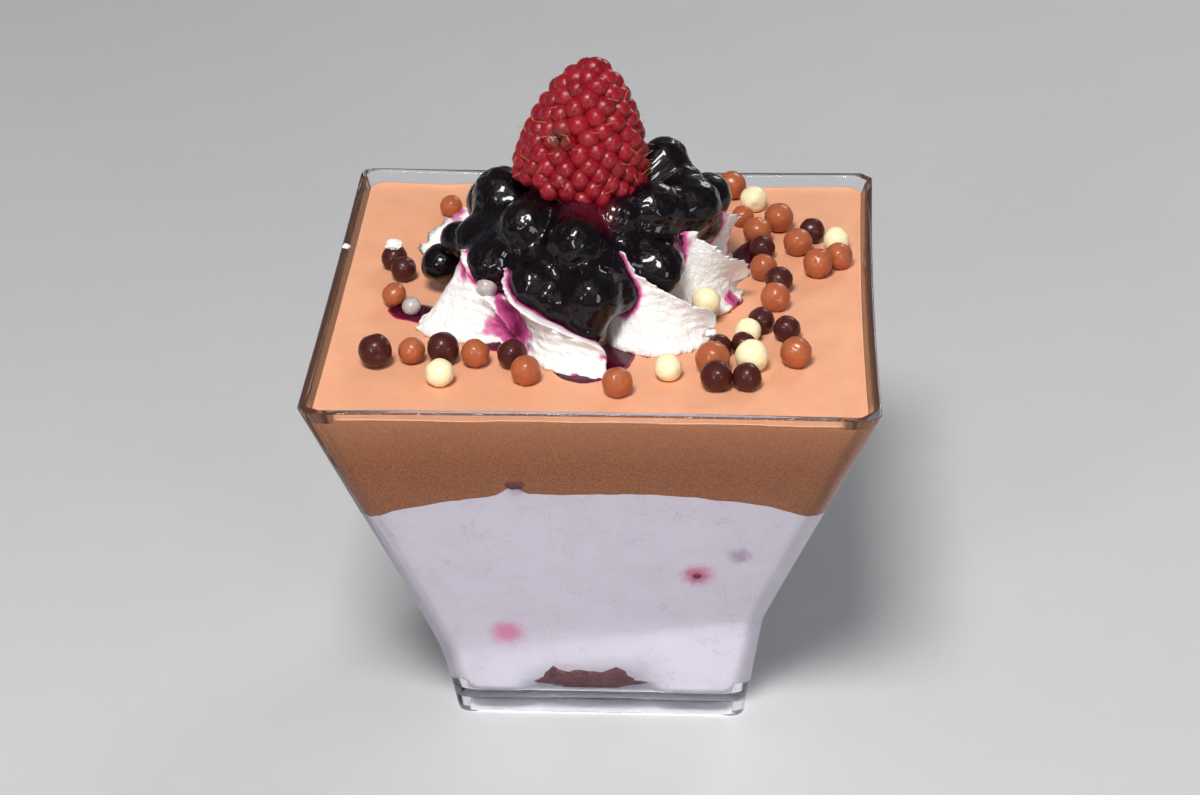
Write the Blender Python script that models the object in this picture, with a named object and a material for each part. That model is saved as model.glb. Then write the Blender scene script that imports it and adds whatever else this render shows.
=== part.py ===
"""A square glass of two mousses, topped with whipped cream, berry compote, a raspberry and chocolate pearls.

Sizes are in millimetres and are scaled to metres as each mesh is made. The origin is the centre of the
foot, on the table. +Z is up and -Y is the front.
"""

import math
import random

import bmesh
import bpy
from mathutils import Matrix, Vector, noise

MM = 0.001
GAP = 0.3
COLLECTION = "mousse_glass"

# Cup
HEIGHT = 57.1
RIM_HALF = 37.5
BASE_HALF = 20.0
LOW_KNEE = {"height": 10.9, "half": 21.7, "softness": 3.0}
HIGH_KNEE = {"height": 17.0, "half": 22.5, "softness": 0.6}
WALL = 1.1
CORNER = 1.8
BOW = 0.45
LEFT_BOW = 0.1
FLOOR = 3.8
RECESS = 2.5
EDGE = 0.3
CORNER_STEPS = 3
SIDE_STEPS = 4

# Layers
INSET = WALL + GAP
TOP = 55.3
INTERFACE = 42.3
INTERFACE_DROP = 5.0
INTERFACE_HALF = 30.3
CORNER_AIR = 3.2
AIR_HEIGHT = 2.2
LAYER_RINGS = (0.96, 0.88, 0.72, 0.5, 0.22)
LAYER_GAP = 0.4

# Soaked sponge disc on the floor
SPONGE_RADIUS = 20.6
SPONGE_X = -1.4
SPONGE_TOP = 7.4
SPONGE_SIDES = 40

# Whipped cream rosette
ROSETTE = Vector((-3.0, 0.5, 0.0))
CREAM_BOTTOM = TOP + GAP
CREAM_CORE_RADIUS = 14.0
CREAM_CORE_TOP = 65.5
PETAL_STEPS = 6
PETAL_THICK = (10.5, 4.0)
# Each petal's crest: angle in degrees, radius and height where it starts and at its tip, then the radius of
# its foot at both ends
PETALS = (
    ((-152, 17.0, 66.0), (-115, 19.2, 58.2), (23.6, 18.4)),
    ((-124, 16.2, 66.0), (-80, 24.4, 59.0), (16.4, 24.2)),
    ((-68, 14.0, 68.0), (-39, 24.2, 60.0), (15.5, 22.0)),
    ((-26, 15.2, 67.5), (-5, 23.0, 61.0), (18.4, 21.4)),
    ((12, 16.5, 67.0), (28, 23.0, 61.0), (17.0, 22.0)),
    ((50, 16.0, 66.5), (80, 23.6, 59.5), (16.5, 22.6)),
    ((92, 16.0, 66.5), (122, 23.6, 59.5), (16.5, 22.6)),
    ((132, 17.0, 66.0), (157, 25.0, 58.0), (19.0, 24.0)),
)
CREAM_PEARL = (14.3, -7.6, 58.6, 1.9)

# Berry compote: place and radius of each berry that shows, and the jelly they lie in
JELLY = (-3.0, 0.5, 64.5)
JELLY_RADII = (15.5, 15.5, 7.6)
BERRIES = (
    (-9.8, -7.6, 69.6, 3.4),
    (-8.6, -14.2, 63.8, 2.9),
    (-2.8, -11.2, 69.0, 3.7),
    (-0.7, -15.6, 63.2, 4.0),
    (6.9, -3.7, 70.4, 3.8),
    (8.0, -8.6, 64.8, 3.0),
    (8.2, 5.4, 73.4, 3.2),
    (12.6, 0.0, 69.4, 3.4),
    (15.2, 6.2, 66.6, 3.4),
    (-13.6, 2.4, 69.4, 3.9),
    (-15.6, 6.4, 66.6, 3.2),
    (-19.6, 0.8, 63.4, 2.6),
    (-22.2, 1.2, 59.4, 2.8),
    (-8.5, 10.0, 69.6, 3.6),
    (1.5, 11.6, 69.2, 3.6),
)
BERRY_SIDES = 8

# Raspberry, tip up
RASPBERRY = (-2.5, 0.7, 72.9)
RASPBERRY_RADIUS = 9.0
RASPBERRY_HEIGHT = 17.6
RASPBERRY_LEAN = math.radians(6.5)
DRUPELET = 1.5
DRUPELET_ROW = 2.65
DRUPELET_PITCH = 3.0

# Chocolate pearls on the mousse: place, radius and kind
PEARL_SINK = 0.3
PEARL_SIDES = 7
PEARLS = (
    (-29.0, -20.5, 2.3, "dark"),
    (-24.3, -19.4, 1.8, "milk"),
    (-20.1, -19.5, 2.2, "dark"),
    (-20.0, -25.7, 1.9, "white"),
    (-15.8, -20.1, 1.9, "milk"),
    (-10.9, -20.3, 2.0, "dark"),
    (-8.8, -24.9, 2.0, "milk"),
    (3.3, -27.8, 2.0, "milk"),
    (9.7, -23.2, 1.8, "white"),
    (16.1, -25.9, 2.1, "dark"),
    (20.1, -25.7, 1.9, "dark"),
    (15.5, -21.3, 2.3, "milk"),
    (20.6, -20.4, 2.2, "white"),
    (26.4, -18.9, 2.1, "milk"),
    (25.2, -11.8, 1.8, "dark"),
    (21.7, -9.5, 1.8, "dark"),
    (20.0, -12.6, 1.8, "white"),
    (19.4, -15.7, 1.6, "dark"),
    (16.3, -16.6, 1.6, "dark"),
    (23.6, -2.8, 2.0, "milk"),
    (24.0, 2.4, 1.9, "dark"),
    (21.9, 6.3, 1.9, "milk"),
    (21.6, 12.4, 1.8, "dark"),
    (29.4, 7.5, 2.1, "milk"),
    (32.3, 10.2, 1.9, "milk"),
    (32.0, 15.5, 1.8, "white"),
    (26.6, 14.1, 2.0, "milk"),
    (28.6, 18.4, 1.8, "dark"),
    (23.9, 21.8, 2.1, "milk"),
    (20.9, 17.6, 2.0, "milk"),
    (18.7, 23.1, 1.6, "milk"),
    (20.2, 28.3, 1.9, "white"),
    (17.0, 32.6, 2.1, "milk"),
    (-29.6, 8.3, 1.8, "dark"),
    (-27.9, 4.7, 1.8, "dark"),
    (-28.4, -3.0, 1.7, "milk"),
    (-25.8, -5.6, 1.3, "white"),
    (-23.2, 25.5, 1.6, "milk"),
)


def mix(first, second, share):
    return first + (second - first) * share


def material(name, color, roughness, metallic=0.0, transmission=0.0):
    """A Principled material of one colour."""
    made = bpy.data.materials.new(name)
    made.use_nodes = True
    shader = made.node_tree.nodes["Principled BSDF"]
    shader.inputs["Base Color"].default_value = (*color, 1.0)
    shader.inputs["Roughness"].default_value = roughness
    shader.inputs["Metallic"].default_value = metallic
    shader.inputs["Transmission Weight"].default_value = transmission
    made.diffuse_color = (*color, 1.0)
    return made


def new_object(name, bm, collection, surface=None):
    """Makes an object of a mesh in millimetres and frees the mesh."""
    bmesh.ops.scale(bm, vec=(MM, MM, MM), verts=bm.verts)
    bmesh.ops.recalc_face_normals(bm, faces=bm.faces)
    mesh = bpy.data.meshes.new(name)
    bm.to_mesh(mesh)
    bm.free()
    mesh.shade_smooth()
    mesh.set_sharp_from_angle(angle=math.radians(35))
    if surface:
        mesh.materials.append(surface)
    made = bpy.data.objects.new(name, mesh)
    collection.objects.link(made)
    return made


def loft(bm, rings):
    """Joins each ring to the next and closes both ends."""
    loops = [[bm.verts.new(point) for point in ring] for ring in rings]
    for first, second in zip(loops, loops[1:]):
        for index in range(len(first)):
            corners = (first[index - 1], first[index], second[index], second[index - 1])
            bm.faces.new(corners)
    bm.faces.new(list(reversed(loops[0])))
    bm.faces.new(loops[-1])


def apply_modifiers(target):
    """Gives the object its evaluated mesh, without modifiers."""
    bpy.context.view_layer.update()
    graph = bpy.context.evaluated_depsgraph_get()
    finished = bpy.data.meshes.new_from_object(target.evaluated_get(graph))
    target.modifiers.clear()
    target.data = finished


def fuse(target, pieces, solver="MANIFOLD"):
    """Joins the pieces to the target with one Boolean union and removes them."""
    group = bpy.data.collections.new("pieces_of_" + target.name)
    bpy.context.scene.collection.children.link(group)
    for piece in pieces:
        group.objects.link(piece)
    union = target.modifiers.new("join", "BOOLEAN")
    union.operation = "UNION"
    union.operand_type = "COLLECTION"
    union.collection = group
    union.solver = solver
    apply_modifiers(target)
    for piece in pieces:
        bpy.data.objects.remove(piece)
    bpy.data.collections.remove(group)


def cut(target, cutter, solver="EXACT"):
    """Takes the cutter away from the target and applies the cut."""
    cutter.hide_render = True
    cutter.display_type = "WIRE"
    difference = target.modifiers.new("cut", "BOOLEAN")
    difference.operation = "DIFFERENCE"
    difference.object = cutter
    difference.solver = solver
    apply_modifiers(target)


def keep_largest_body(target):
    """Removes the crumbs that a cut leaves beside the largest body."""
    bm = bmesh.new()
    bm.from_mesh(target.data)
    bm.verts.ensure_lookup_table()
    unseen = set(bm.verts)
    bodies = []
    while unseen:
        front = [unseen.pop()]
        body = set(front)
        while front:
            for edge in front.pop().link_edges:
                for vert in edge.verts:
                    if vert in unseen:
                        unseen.discard(vert)
                        body.add(vert)
                        front.append(vert)
        bodies.append(body)
    largest = max(bodies, key=len)
    crumbs = [vert for body in bodies if body is not largest for vert in body]
    bmesh.ops.delete(bm, geom=crumbs, context="VERTS")
    bm.to_mesh(target.data)
    bm.free()


def half_width(z, across):
    """Half the cup's outer width at height z, where across runs from 0 at the left side to 1 at the right."""
    knee = mix(LOW_KNEE["height"], HIGH_KNEE["height"], across)
    half = mix(LOW_KNEE["half"], HIGH_KNEE["half"], across)
    softness = mix(LOW_KNEE["softness"], HIGH_KNEE["softness"], across)
    foot_slope = (half - BASE_HALF) / knee
    wall_slope = (RIM_HALF - half) / (HEIGHT - knee)
    above = z - knee
    flare = (above + math.hypot(above, softness)) / 2
    return half + foot_slope * above + (wall_slope - foot_slope) * flare


def wall_point(corner, normal, z, inset, radius=CORNER):
    """The point of the wall at height z, for a place round a square of half width 1 and its outward normal."""
    across = (corner.x + 1) / 2
    knee = mix(LOW_KNEE["height"], HIGH_KNEE["height"], across)
    rise = min(max((z - knee) / (HEIGHT - knee), 0), 1)
    along = corner.dot(Vector((-normal.y, normal.x)))
    bow = (LEFT_BOW if normal.x < -0.5 else BOW) * rise * max(1 - along * along, 0)
    flat = corner * (half_width(z, across) - inset - radius) + normal * (radius - bow)
    return Vector((flat.x, flat.y, z))


def round_the_cup():
    """Places round a square of half width 1, with their outward normals."""
    places = []
    for quarter in range(4):
        turn = Matrix.Rotation(quarter * math.pi / 2, 2)
        for step in range(CORNER_STEPS + 1):
            angle = step / CORNER_STEPS * math.pi / 2
            places.append((turn @ Vector((1, 1)), turn @ Vector((math.cos(angle), math.sin(angle)))))
        for step in range(1, SIDE_STEPS):
            along = 1 - 2 * step / SIDE_STEPS
            places.append((turn @ Vector((along, 1)), turn @ Vector((0, 1))))
    return places


def wall_ring(below, above, offset, inset, radius=CORNER):
    """A ring of the wall, at shares of the heights below and above the crease, plus an offset."""
    ring = []
    for corner, normal in round_the_cup():
        knee = mix(LOW_KNEE["height"], HIGH_KNEE["height"], (corner.x + 1) / 2)
        z = below * knee + above * (HEIGHT - knee) + offset
        ring.append(wall_point(corner, normal, z, inset, radius))
    return ring


def interface(x, y):
    """Height of the line between the two mousses, high in the middle of each side and low in the corners."""
    corner = abs(x * y) / INTERFACE_HALF**2
    wave = noise.noise(Vector((x, y, 0.0)) * 0.12) * 0.5
    return INTERFACE - INTERFACE_DROP * min(corner, 1.2) ** 1.25 + wave


def interface_rings(offset):
    """The interface from the wall towards the middle."""
    edge = []
    for corner, normal in round_the_cup():
        point = wall_point(corner, normal, INTERFACE, INSET)
        for _ in range(3):
            point = wall_point(corner, normal, interface(point.x, point.y) + offset, INSET)
        edge.append(point)
    rings = [edge]
    for share in LAYER_RINGS:
        rings.append([Vector((p.x * share, p.y * share, 0)) for p in edge])
        for point in rings[-1]:
            point.z = interface(point.x, point.y) + offset
    return rings


def make_cup(collection):
    bm = bmesh.new()
    rings = (
        (0, 0, RECESS, WALL + EDGE),
        (0, 0, EDGE, WALL + EDGE / 2),
        (0, 0, 0, WALL),
        (0, 0, 0, EDGE),
        (0, 0, EDGE, 0),
        (0.5, 0, 0, 0),
        (0.85, 0, 0, 0),
        (1, 0, 0, 0),
        (1, 0.05, 0, 0),
        (1, 0.15, 0, 0),
        (1, 0.55, 0, 0),
        (1, 1, -EDGE, 0),
        (1, 1, 0, EDGE),
        (1, 1, 0, WALL - EDGE),
        (1, 1, -EDGE, WALL),
        (1, 0.55, 0, WALL),
        (1, 0.15, 0, WALL),
        (1, 0.05, 0, WALL),
        (1, 0, 0, WALL),
        (0.85, 0, 0, WALL),
        (0, 0, FLOOR + EDGE, WALL),
        (0, 0, FLOOR, WALL + EDGE),
    )
    loft(bm, [wall_ring(*ring) for ring in rings])
    clear = material("clear_plastic", (0.93, 0.95, 0.97), 0.05, transmission=1.0)
    return new_object("cup", bm, collection, clear)


def sponge_rings(grow, inset):
    """Rings of the disc on the floor, kept inside the cup where inset is given."""
    profile = (
        (FLOOR + GAP, SPONGE_RADIUS - 1.6),
        (FLOOR + GAP + 1.0, SPONGE_RADIUS),
        (SPONGE_TOP - 0.8, SPONGE_RADIUS),
        (SPONGE_TOP, SPONGE_RADIUS - 1.2),
    )
    rings = []
    for level, radius in profile:
        ring = []
        for side in range(SPONGE_SIDES):
            angle = 2 * math.pi * side / SPONGE_SIDES
            away = Vector((math.cos(angle), math.sin(angle)))
            uneven = noise.noise(Vector((away.x, away.y, 0)) * 2.5)
            upper = level > FLOOR + 2
            z = level + (uneven * 0.7 if upper else 0)
            flat = away * (radius + uneven * 0.5 + grow)
            flat.x += SPONGE_X
            if inset:
                limit = half_width(z, 0.5) - inset
                flat = Vector([max(-limit, min(limit, value)) for value in flat])
            ring.append(Vector((flat.x, flat.y, z)))
        rings.append(ring)
    lift = Vector((0, 0, grow))
    rings[0] = [point - lift * 4 for point in rings[0]]
    rings[-1] = [point + lift for point in rings[-1]]
    rings[-2] = [point + lift for point in rings[-2]]
    return rings


def make_sponge(collection):
    bm = bmesh.new()
    loft(bm, sponge_rings(0, INSET + 0.25))
    soaked = material("soaked_sponge", (0.10, 0.012, 0.03), 0.5)
    return new_object("soaked_sponge", bm, collection, soaked)


def make_fruit_mousse(collection, cutters):
    bm = bmesh.new()
    rings = [
        wall_ring(0, 0, FLOOR + GAP, INSET, CORNER_AIR),
        wall_ring(0, 0, FLOOR + GAP + AIR_HEIGHT, INSET),
        wall_ring(0.85, 0, 0, INSET),
        wall_ring(1, 0, 0, INSET),
        wall_ring(1, 0.05, 0, INSET),
        wall_ring(1, 0.15, 0, INSET),
        wall_ring(1, 0.35, 0, INSET),
    ]
    loft(bm, rings + interface_rings(0))
    pale = material("fruit_mousse", (0.72, 0.68, 0.74), 0.55)
    mousse = new_object("fruit_mousse", bm, collection, pale)
    space = bmesh.new()
    loft(space, sponge_rings(GAP, None))
    cut(mousse, new_object("sponge_space", space, cutters))
    return mousse


def ball(name, collection, place, radius, sides, pole=(0, 0, 1)):
    """A sphere, for a pearl or a drupelet, with its pole turned towards a direction."""
    bm = bmesh.new()
    bmesh.ops.create_uvsphere(bm, u_segments=sides, v_segments=sides - 2, radius=radius)
    turn = Vector(pole).to_track_quat("Z", "Y").to_matrix().to_4x4()
    bmesh.ops.transform(bm, matrix=Matrix.Translation(place) @ turn, verts=bm.verts)
    return new_object(name, bm, collection)


def make_chocolate_mousse(collection, cutters):
    bm = bmesh.new()
    edge = wall_ring(0, 0, TOP, INSET)
    middle = [Vector((p.x * 0.9, p.y * 0.9, TOP)) for p in edge]
    below = list(reversed(interface_rings(LAYER_GAP)))
    loft(bm, [*below, wall_ring(1, 0.88, 0, INSET), edge, middle])
    tan = material("chocolate_mousse", (0.56, 0.27, 0.14), 0.6)
    mousse = new_object("chocolate_mousse", bm, collection, tan)
    pearls = []
    for x, y, radius, kind in PEARLS:
        place = (x, y, TOP + radius - PEARL_SINK)
        pearls.append(ball("pearl_" + kind, cutters, place, radius, PEARL_SIDES))
    fuse(mousse, pearls)
    return mousse


def petal_section(start, tip, foot, share, grow):
    """Cross-section of a petal at a share of its crest: radius and height of each corner."""
    share = max(share, 0)
    crest = mix(start[1], tip[1], share**1.15) + grow
    top = mix(start[2], tip[2], share**0.8) + grow
    base = mix(foot[0], foot[1], share**0.7) + grow
    thick = mix(PETAL_THICK[0], PETAL_THICK[1], share) + 2 * grow
    floor = CREAM_BOTTOM - grow
    return (
        (base, floor),
        (mix(base, crest, 0.5) - 0.7, mix(floor, top, 0.45)),
        (crest, top),
        (crest - thick * 0.4, top - thick * 0.08),
        (crest - thick, mix(floor, top, 0.75)),
        (crest - thick - 1.5, floor),
    )


def petal_rings(start, tip, foot, grow):
    """Cross-sections of one petal of the rosette, from behind its start to its tip."""
    shares = [mix(-0.12, 1, step / PETAL_STEPS) for step in range(PETAL_STEPS + 1)]
    angles = [math.radians(mix(start[0], tip[0], share)) for share in shares]
    if grow:
        shares = [shares[0], *shares, shares[-1]]
        angles = [angles[0] - grow / start[1], *angles, angles[-1] + grow / start[1]]
    rings = []
    for share, angle in zip(shares, angles):
        away = Vector((math.cos(angle), math.sin(angle), 0))
        section = petal_section(start, tip, foot, share, grow)
        rings.append([ROSETTE + away * radius + Vector((0, 0, z)) for radius, z in section])
    return rings


def cream_body(name, collection, helpers, grow=0.0, surface=None):
    """The rosette: a core with a petal for each lobe."""
    bm = bmesh.new()
    heights = (0.0, 0.35, 0.7, 0.9, 1.0)
    widths = (1.0, 1.0, 0.86, 0.62, 0.2)
    rings = []
    for height, width in zip(heights, widths):
        z = mix(CREAM_BOTTOM - grow, CREAM_CORE_TOP + grow, height)
        radius = (CREAM_CORE_RADIUS + grow) * width
        turns = [2 * math.pi * side / 24 for side in range(24)]
        rings.append([ROSETTE + Vector((radius * math.cos(a), radius * math.sin(a), z)) for a in turns])
    loft(bm, rings)
    body = new_object(name, bm, collection, surface)
    petals = []
    for start, tip, foot in PETALS:
        petal = bmesh.new()
        loft(petal, petal_rings(start, tip, foot, grow))
        petals.append(new_object("petal", petal, helpers))
    x, y, z, radius = CREAM_PEARL
    petals.append(ball("pearl_white", helpers, (x, y, z), radius + grow, PEARL_SIDES))
    fuse(body, petals)
    return body


def make_cream(collection, cutters):
    white = material("whipped_cream", (0.86, 0.84, 0.83), 0.6)
    return cream_body("whipped_cream", collection, cutters, surface=white)


def make_compote(collection, cutters):
    bm = bmesh.new()
    bmesh.ops.create_icosphere(bm, subdivisions=3, radius=1)
    bmesh.ops.scale(bm, vec=JELLY_RADII, verts=bm.verts)
    bmesh.ops.translate(bm, vec=JELLY, verts=bm.verts)
    dark = material("berry_compote", (0.012, 0.004, 0.010), 0.08)
    compote = new_object("berry_compote", bm, collection, dark)
    berries = [ball("berry", cutters, berry[:3], berry[3], BERRY_SIDES) for berry in BERRIES]
    fuse(compote, berries)
    cut(compote, cream_body("cream_space", cutters, cutters, grow=GAP))
    cut(compote, raspberry_body("raspberry_space", cutters, DRUPELET * 1.2 + GAP))
    keep_largest_body(compote)
    return compote


def raspberry_frame():
    """Places the raspberry on the compote, leaning to the right."""
    return Matrix.Translation(RASPBERRY) @ Matrix.Rotation(RASPBERRY_LEAN, 4, "Y")


def raspberry_radius(share):
    """Outer radius at a share of the height."""
    narrow = mix(0.9, 1.0, min(share / 0.14, 1))
    return RASPBERRY_RADIUS * math.sqrt(max(1 - share * share, 0)) * narrow


def raspberry_body(name, collection, grow, surface=None):
    """The raspberry's core, turned about its axis."""
    bm = bmesh.new()
    rings = []
    for share in (0.0, 0.1, 0.3, 0.5, 0.7, 0.85, 0.95):
        radius = raspberry_radius(share) - DRUPELET + grow
        z = share * (RASPBERRY_HEIGHT - DRUPELET) + (grow if share > 0.9 else -grow * 0.3)
        turns = [2 * math.pi * side / 20 for side in range(20)]
        rings.append([Vector((radius * math.cos(a), radius * math.sin(a), z)) for a in turns])
    loft(bm, rings)
    bmesh.ops.transform(bm, matrix=raspberry_frame(), verts=bm.verts)
    return new_object(name, bm, collection, surface)


def drupelet_places():
    """Drupelet centres in rows from the open end to the tip, and their radii."""
    places = []
    share = 0.07
    row = 0
    while share < 0.94:
        radius = raspberry_radius(share) - DRUPELET * 0.85
        count = max(round(2 * math.pi * radius / DRUPELET_PITCH), 3)
        for index in range(count):
            angle = 2 * math.pi * (index + 0.5 * (row % 2)) / count
            z = share * RASPBERRY_HEIGHT
            places.append(Vector((radius * math.cos(angle), radius * math.sin(angle), z)))
        slope = share / math.sqrt(1 - share * share) * RASPBERRY_RADIUS / RASPBERRY_HEIGHT
        share += DRUPELET_ROW / RASPBERRY_HEIGHT / math.hypot(1, slope)
        row += 1
    places.append(Vector((0, 0, RASPBERRY_HEIGHT - DRUPELET)))
    return places


def make_raspberry(collection, cutters):
    red = material("raspberry", (0.42, 0.015, 0.03), 0.35)
    berry = raspberry_body("raspberry", collection, 0.0, red)
    varied = random.Random(7)
    drupelets = []
    for place in drupelet_places():
        radius = DRUPELET * varied.uniform(0.93, 1.05)
        outward = place - Vector((0, 0, RASPBERRY_HEIGHT * 0.35))
        drupelets.append(ball("drupelet", cutters, raspberry_frame() @ place, radius, 6, outward))
    fuse(berry, drupelets)
    return berry


def main():
    for old in list(bpy.data.objects):
        bpy.data.objects.remove(old)
    collection = bpy.data.collections.new(COLLECTION)
    cutters = bpy.data.collections.new("cutters")
    bpy.context.scene.collection.children.link(collection)
    bpy.context.scene.collection.children.link(cutters)
    make_cup(collection)
    make_sponge(collection)
    make_fruit_mousse(collection, cutters)
    make_chocolate_mousse(collection, cutters)
    make_cream(collection, cutters)
    make_compote(collection, cutters)
    make_raspberry(collection, cutters)


main()
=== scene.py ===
"""Dresses the glass of mousse: clear cup, two mousses, whipped cream, berries, raspberry and pearls.

Shapes are made in millimetres, in the part's own frame, and scaled to metres as each piece is finished.
"""

import math
import random

import bmesh
import bpy
import numpy as np
from mathutils import Matrix, Vector, noise
from mathutils.bvhtree import BVHTree


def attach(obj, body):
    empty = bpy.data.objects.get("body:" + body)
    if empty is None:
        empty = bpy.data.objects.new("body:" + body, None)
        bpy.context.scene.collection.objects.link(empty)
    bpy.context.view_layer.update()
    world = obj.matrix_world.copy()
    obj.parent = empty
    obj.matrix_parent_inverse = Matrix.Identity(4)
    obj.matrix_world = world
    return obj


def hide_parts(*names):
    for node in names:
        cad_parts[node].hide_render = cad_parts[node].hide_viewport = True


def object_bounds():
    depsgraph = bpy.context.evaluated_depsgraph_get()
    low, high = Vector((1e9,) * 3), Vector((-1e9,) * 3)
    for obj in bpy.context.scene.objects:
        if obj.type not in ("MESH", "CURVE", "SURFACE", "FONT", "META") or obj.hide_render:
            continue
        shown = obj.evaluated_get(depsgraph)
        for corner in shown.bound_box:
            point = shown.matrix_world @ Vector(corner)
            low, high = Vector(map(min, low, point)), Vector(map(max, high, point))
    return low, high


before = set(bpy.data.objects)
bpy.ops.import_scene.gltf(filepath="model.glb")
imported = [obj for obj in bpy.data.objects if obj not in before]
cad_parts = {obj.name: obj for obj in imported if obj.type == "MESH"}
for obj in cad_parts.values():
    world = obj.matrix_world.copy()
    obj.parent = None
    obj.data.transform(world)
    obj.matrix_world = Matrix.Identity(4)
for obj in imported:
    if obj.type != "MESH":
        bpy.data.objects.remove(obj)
cad_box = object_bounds()

MM = 0.001

# Cup, as in the part
HEIGHT = 57.1
RIM_HALF = 37.47
BASE_HALF = 20.0
LOW_KNEE = {"height": 10.9, "half": 21.7, "softness": 3.0}
HIGH_KNEE = {"height": 17.0, "half": 22.5, "softness": 0.6}
WALL = 1.1
CORNER = 1.8
BOW = 0.45
LEFT_BOW = 0.1
FLOOR = 3.8
RECESS = 2.5
EDGE = 0.28
CORNER_STEPS = 8

# Layers, which reach just into the wall
REACH = 0.05
INSET = WALL - REACH
TOP = 55.3
INTERFACE = 42.3
INTERFACE_DROP = 5.0
INTERFACE_HALF = 30.3
PEAK = {"x": -10.5, "height": 1.8, "width": 1.3}
CORNER_AIR = 3.2
AIR_HEIGHT = 2.2
SPONGE_RADIUS = 21.0
SPONGE_X = -1.4
SPONGE_TOP = 7.9

# Whipped cream rosette. Ridges are angle, radius and height round its middle; feet are angle and radius
ROSETTE = Vector((-3.0, 0.5, 0.0))
CREAM_CORE_RADIUS = 14.0
CREAM_CORE_TOP = 65.5
PETAL_THICK = 10.5
PETALS = (
    {
        "ridge": (
            (-158, 16.4, 64.6), (-151, 17.4, 66.0), (-143, 18.1, 64.0),
            (-136, 17.9, 62.0), (-125, 18.0, 60.0), (-116, 18.3, 57.6),
        ),
        "foot": ((-158, 23.0), (-151, 24.0), (-140, 22.7), (-131, 19.6), (-119, 17.2)),
        "end": 4.0,
    },
    {
        "ridge": (
            (-130, 14.0, 64.5), (-126, 16.0, 65.4), (-119, 19.0, 64.2),
            (-109, 20.8, 62.5), (-94, 21.8, 60.8), (-78, 23.4, 58.8),
        ),
        "foot": ((-130, 16.0), (-113, 18.8), (-99, 22.2), (-89, 23.8), (-79, 25.0)),
        "end": 4.0,
    },
    {
        "ridge": (
            (-68, 12.5, 67.0), (-63, 14.4, 68.0), (-61, 16.4, 66.0),
            (-55, 18.2, 64.4), (-47, 21.0, 62.5), (-38, 24.8, 60.2),
        ),
        "foot": ((-73, 16.4), (-64, 19.4), (-59, 21.2), (-47, 22.7), (-36, 22.7)),
        "end": 4.0,
    },
    {
        "ridge": (
            (-27, 14.0, 67.0), (-19, 16.2, 67.6), (-17, 18.9, 65.4),
            (-12, 21.2, 63.2), (-5, 23.6, 61.2),
        ),
        "foot": ((-27, 18.4), (-20, 19.4), (-8, 21.3), (4, 22.0)),
        "end": 5.0,
    },
    {
        "ridge": (
            (4, 15.8, 65.4), (11, 19.8, 66.6), (17, 22.4, 64.2),
            (27, 23.0, 62.0), (38, 23.2, 60.2), (48, 23.6, 58.4),
        ),
        "foot": ((4, 17.8), (15, 21.6), (27, 23.2), (38, 23.9), (48, 24.4)),
        "end": 9.0,
    },
    {
        "ridge": (
            (40, 14.0, 64.5), (47, 16.2, 65.6), (55, 18.8, 64.2),
            (66, 20.4, 62.4), (79, 21.6, 60.6), (92, 22.8, 58.6),
        ),
        "foot": ((40, 16.6), (54, 19.6), (66, 21.8), (79, 23.2), (93, 24.2)),
        "end": 9.0,
    },
    {
        "ridge": (
            (84, 14.0, 64.5), (91, 16.2, 65.6), (99, 18.8, 64.2),
            (110, 20.4, 62.4), (123, 21.6, 60.6), (136, 22.8, 58.6),
        ),
        "foot": ((84, 16.6), (98, 19.6), (110, 21.8), (123, 23.2), (137, 24.2)),
        "end": 9.0,
    },
    {
        "ridge": (
            (124, 14.8, 64.6), (132, 17.2, 65.4), (141, 20.0, 63.4),
            (150, 22.6, 61.0), (160, 25.0, 58.0),
        ),
        "foot": ((124, 17.0), (134, 20.2), (146, 22.4), (160, 24.4)),
        "end": 8.0,
    },
)
# Places where sauce has run over the cream, with the reach of each stain
CREAM_STAINS = (
    ((-10.4, -14.8, 57.6), 4.4),
    ((-12.2, -12.4, 60.4), 2.8),
    ((2.5, -20.6, 57.6), 2.1),
    ((-2.5, -23.6, 55.4), 0.9),
    ((18.6, 8.4, 59.5), 2.6),
    ((17.6, -2.2, 56.0), 1.6),
    ((-21.0, 11.0, 62.5), 2.0),
)

# Berry compote, as in the part, with the drapes of jelly between its berries
JELLY = Vector((-3.0, 0.5, 64.5))
JELLY_RADII = (15.2, 15.2, 7.2)
BERRIES = (
    (-9.8, -7.6, 69.6, 3.4),
    (-8.6, -14.2, 63.8, 2.9),
    (-2.8, -11.2, 69.0, 3.7),
    (-0.7, -15.6, 63.2, 4.0),
    (6.9, -3.7, 70.4, 3.8),
    (8.0, -8.6, 64.8, 3.0),
    (8.2, 5.4, 73.4, 3.2),
    (12.6, 0.0, 69.4, 3.4),
    (-13.6, 2.4, 69.4, 3.9),
    (-15.6, 6.4, 66.6, 3.2),
    (-8.5, 10.0, 69.6, 3.6),
    (1.5, 11.6, 69.2, 3.6),
    (14.0, 8.0, 66.8, 3.3),
)
OUTER_BERRIES = (
    (-19.6, 0.8, 63.4, 2.6),
    (-22.2, 1.2, 59.4, 2.8),
)
DRAPES = (
    (-14.6, -7.6, 63.4, 3.6),
    (-16.8, -2.0, 64.6, 3.0),
    (8.6, -10.4, 63.8, 2.2),
    (13.0, 3.4, 65.2, 3.0),
    (3.0, -13.5, 62.5, 2.4),
    (-5.0, -15.8, 62.0, 2.6),
    (-1.6, -17.2, 59.6, 2.8),
    (12.4, 9.4, 64.0, 3.8),
    (10.6, 3.4, 70.6, 3.0),
    (9.6, -1.0, 68.4, 3.6),
    (-8.0, -5.4, 70.6, 2.8),
    (-2.8, -7.6, 70.7, 3.0),
    (2.6, -6.6, 70.7, 2.8),
)
BLEND = 0.62
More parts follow.
